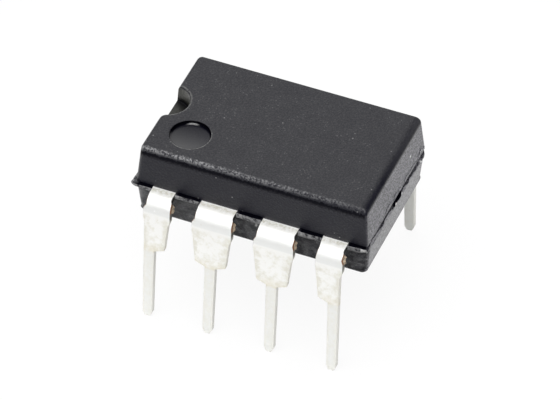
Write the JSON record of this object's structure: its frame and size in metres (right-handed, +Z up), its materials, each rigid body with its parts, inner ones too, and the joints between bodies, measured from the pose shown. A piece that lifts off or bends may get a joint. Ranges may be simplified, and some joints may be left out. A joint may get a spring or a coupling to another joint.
{
  "type": "dual in-line package integrated circuit chip",
  "caption": "Plastic dual in-line integrated circuit with two rows of tin-plated legs, a half-round end notch and a round pin 1 mark.",
  "frame": {"origin": "centre of the box round the part, on the surface that the lead tips stand on", "axes": "+X along the body from the notch end to the plain end, +Y from the front row with lead 1 to the back row, +Z up from the lead tips to the top face"},
  "size_m": [0.0097, 0.0087, 0.0075],
  "materials": {
    "epoxy": "fine-grained matte moulding with a light satin sheen",
    "tin": "matte tin plating",
    "copper": "bare stamped copper alloy",
    "silver_glue": "silver-filled die glue",
    "silicon": "polished silicon",
    "gold": "drawn gold wire"
  },
  "bodies": {
    "root": {"moulded_body": "epoxy", "lead_1": "tin", "lead_2": "tin", "lead_3": "tin", "lead_4": "tin", "lead_5": "tin", "lead_6": "tin", "lead_7": "tin", "lead_8": "tin", "die_pad": "copper", "die_attach": "silver_glue", "die": "silicon", "bond_wire_1": "gold", "bond_wire_2": "gold", "bond_wire_3": "gold", "bond_wire_4": "gold", "bond_wire_5": "gold", "bond_wire_6": "gold", "bond_wire_7": "gold", "bond_wire_8": "gold"}
  },
  "joints": []
}
